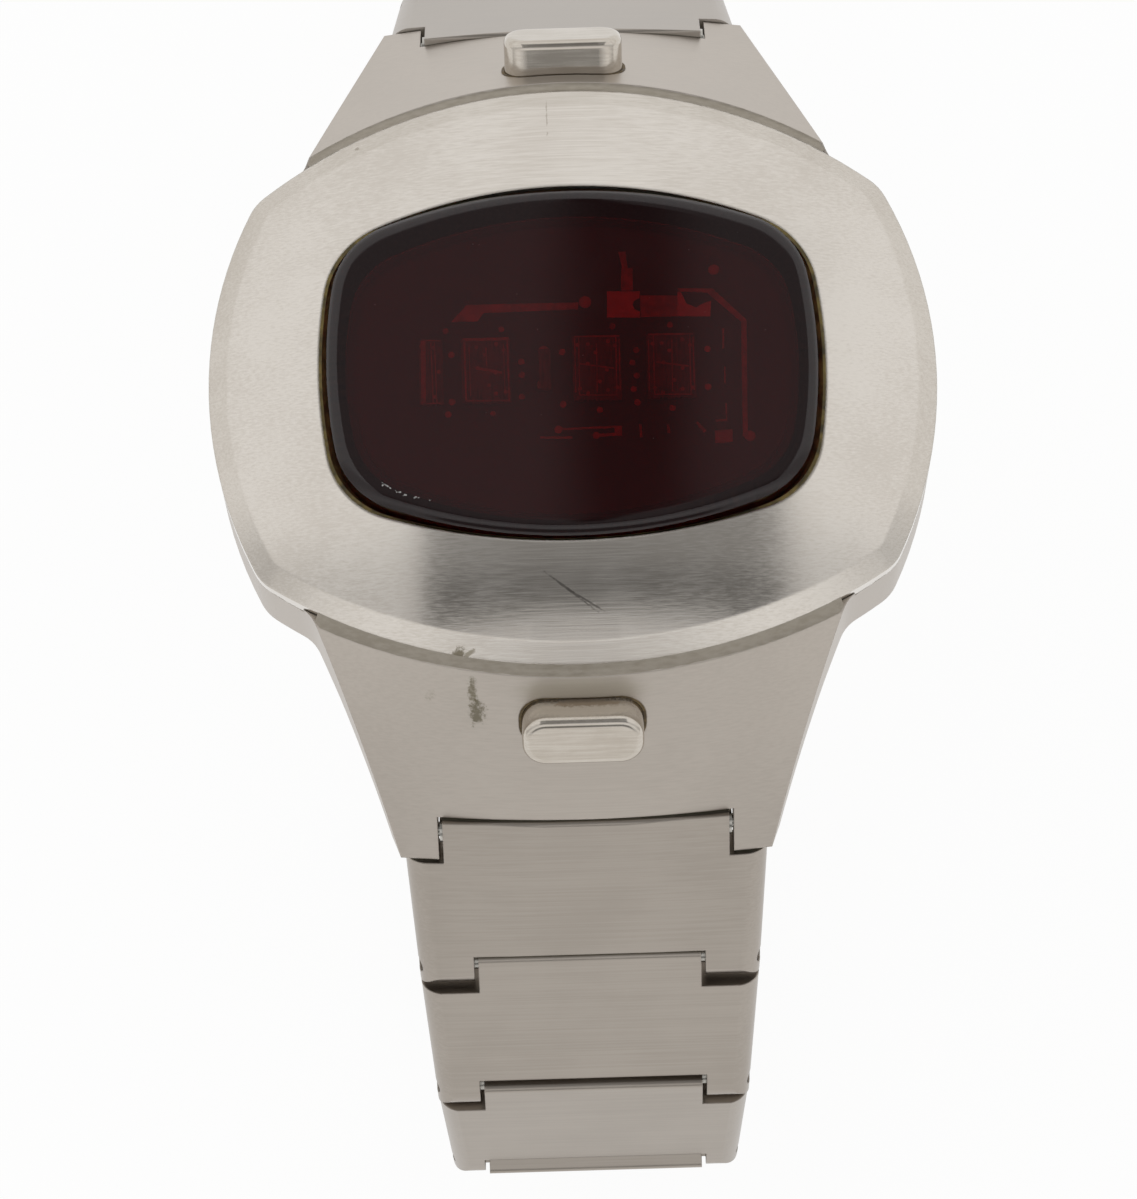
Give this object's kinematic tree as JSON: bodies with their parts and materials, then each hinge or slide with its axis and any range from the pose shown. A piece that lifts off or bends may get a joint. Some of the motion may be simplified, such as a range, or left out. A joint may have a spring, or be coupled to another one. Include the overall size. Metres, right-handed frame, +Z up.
{
  "type": "led wristwatch",
  "caption": "Steel wristwatch with a domed barrel-shaped head, dark display window, sloping flanks with push buttons, tapering link bracelet and fold-over clasp.",
  "frame": {"origin": "on the flat face of the clasp cover, under the middle of the display window", "axes": "+Z up through the display, +Y towards 12 o'clock, +X towards 3 o'clock"},
  "size_m": [0.04, 0.0754, 0.0543],
  "materials": {
    "brushed_steel": "brushed across the watch, satin",
    "polished_steel": "fine satin, nearly polished",
    "pin_steel": "turned",
    "dark_glass": "polished dark red filter glass",
    "gasket_rubber": "aged, oily",
    "module_plastic": "moulded",
    "ceramic_dark": "matt",
    "led_chip": "clear cover over the segments",
    "board_laminate": "lacquered",
    "chip_package": "moulded",
    "can_metal": "plated",
    "reed_glass": "clear",
    "contact_brass": "plated spring metal",
    "cell_steel": "plated",
    "seal_rubber": "moulded",
    "magnet_metal": "plated"
  },
  "bodies": {
    "head": {"mid_case": "brushed_steel", "dome_bezel": "brushed_steel", "lens_gasket": "gasket_rubber", "display_lens": "dark_glass", "display_substrate": "ceramic_dark", "led_digits": "led_chip", "module_housing": "module_plastic", "circuit_board": "board_laminate", "driver_chip": "chip_package", "quartz_crystal": "can_metal", "trimmer_capacitor": "can_metal", "reed_switches": "reed_glass", "cell_contacts": "contact_brass", "power_cell_left": "cell_steel", "power_cell_right": "cell_steel", "case_back": "brushed_steel", "back_gasket": "seal_rubber", "back_screws": "pin_steel", "button_spring_12": "pin_steel", "button_spring_6": "pin_steel", "button_pin_12": "pin_steel", "button_pin_6": "pin_steel", "case_spring_bar_12": "pin_steel", "case_spring_bar_6": "pin_steel"},
    "hatch_left": {"battery_hatch_left": "polished_steel", "hatch_seal_left": "seal_rubber"},
    "hatch_right": {"battery_hatch_right": "polished_steel", "hatch_seal_right": "seal_rubber"},
    "button_12": {"push_button_12": "polished_steel", "button_magnet_12": "magnet_metal"},
    "link_12_1": {"link_12_1": "brushed_steel", "link_pin_12_1": "pin_steel"},
    "link_12_2": {"link_12_2": "brushed_steel", "link_pin_12_2": "pin_steel"},
    "link_12_3": {"link_12_3": "brushed_steel", "link_pin_12_3": "pin_steel"},
    "link_12_4": {"link_12_4": "brushed_steel", "link_pin_12_4": "pin_steel"},
    "link_12_5": {"link_12_5": "brushed_steel", "link_pin_12_5": "pin_steel"},
    "button_6": {"push_button_6": "polished_steel", "button_magnet_6": "magnet_metal"},
    "link_6_1": {"link_6_1": "brushed_steel", "link_pin_6_1": "pin_steel"},
    "link_6_2": {"link_6_2": "brushed_steel", "link_pin_6_2": "pin_steel"},
    "link_6_3": {"link_6_3": "brushed_steel", "link_pin_6_3": "pin_steel"},
    "link_6_4": {"link_6_4": "brushed_steel", "link_pin_6_4": "pin_steel"},
    "link_6_5": {"link_6_5": "brushed_steel"},
    "clasp_cover": {"clasp_cover": "brushed_steel", "clasp_spring_bar": "pin_steel", "cover_hinge_pin": "pin_steel"},
    "clasp_blade_outer": {"clasp_blade_outer": "polished_steel", "blade_fold_pin": "pin_steel"},
    "clasp_blade_inner": {"clasp_blade_inner": "polished_steel"}
  },
  "joints": [
    {"name": "hatch_turn_left", "type": "hinge", "parent": "head", "child": "hatch_left", "pos_m": [-0.00705, 0, 0.0415], "axis": [0, 0, 1], "range_deg": [0, 60]},
    {"name": "hatch_turn_right", "type": "hinge", "parent": "head", "child": "hatch_right", "pos_m": [0.00705, 0, 0.0415], "axis": [0, 0, 1], "range_deg": [0, 60]},
    {"name": "button_press_12", "type": "slide", "parent": "head", "child": "button_12", "axis": [0, -0.788, -0.6157], "range_m": [0, 0.0005], "stiffness_N_per_m": 1500, "springref_m": -0.0005, "deforming": ["button_spring_12"]},
    {"name": "turn_12_1", "type": "hinge", "parent": "head", "child": "link_12_1", "pos_m": [0, 0.02301, 0.04207], "axis": [1, 0, 0], "range_deg": [0, 3.5]},
    {"name": "turn_12_2", "type": "hinge", "parent": "link_12_1", "child": "link_12_2", "pos_m": [0, 0.02867, 0.03383], "axis": [1, 0, 0], "range_deg": [0, 2.5]},
    {"name": "turn_12_3", "type": "hinge", "parent": "link_12_2", "child": "link_12_3", "pos_m": [0, 0.03397, 0.02535], "axis": [1, 0, 0], "range_deg": [0, 19]},
    {"name": "turn_12_4", "type": "hinge", "parent": "link_12_3", "child": "link_12_4", "pos_m": [0, 0.03622, 0.01561], "axis": [1, 0, 0], "range_deg": [0, 39]},
    {"name": "turn_12_5", "type": "hinge", "parent": "link_12_4", "child": "link_12_5", "pos_m": [0, 0.03184, 0.00662], "axis": [1, 0, 0], "range_deg": [0, 44]},
    {"name": "button_press_6", "type": "slide", "parent": "head", "child": "button_6", "axis": [0, 0.788, -0.6157], "range_m": [0, 0.0005], "stiffness_N_per_m": 1500, "springref_m": -0.0005, "deforming": ["button_spring_6"]},
    {"name": "turn_6_1", "type": "hinge", "parent": "head", "child": "link_6_1", "pos_m": [0, -0.02301, 0.04207], "axis": [-1, 0, 0], "range_deg": [0, 3.5]},
    {"name": "turn_6_2", "type": "hinge", "parent": "link_6_1", "child": "link_6_2", "pos_m": [0, -0.02867, 0.03383], "axis": [-1, 0, 0], "range_deg": [0, 2.5]},
    {"name": "turn_6_3", "type": "hinge", "parent": "link_6_2", "child": "link_6_3", "pos_m": [0, -0.03397, 0.02535], "axis": [-1, 0, 0], "range_deg": [0, 19]},
    {"name": "turn_6_4", "type": "hinge", "parent": "link_6_3", "child": "link_6_4", "pos_m": [0, -0.03622, 0.01561], "axis": [-1, 0, 0], "range_deg": [0, 39]},
    {"name": "turn_6_5", "type": "hinge", "parent": "link_6_4", "child": "link_6_5", "pos_m": [0, -0.03184, 0.00662], "axis": [-1, 0, 0], "range_deg": [0, 44]},
    {"name": "clasp_cover_turn", "type": "hinge", "parent": "link_6_5", "child": "clasp_cover", "pos_m": [0, -0.02244, 0.0032], "axis": [-1, 0, 0], "range_deg": [0, 20]},
    {"name": "clasp_unfold_outer", "type": "hinge", "parent": "clasp_cover", "child": "clasp_blade_outer", "pos_m": [0, 0.01894, 0.00185], "axis": [-1, 0, 0], "range_deg": [0, 80]},
    {"name": "clasp_unfold_inner", "type": "hinge", "parent": "clasp_blade_outer", "child": "clasp_blade_inner", "pos_m": [0, -0.01714, 0.0026], "axis": [1, 0, 0], "range_deg": [0, 60]}
  ]
}
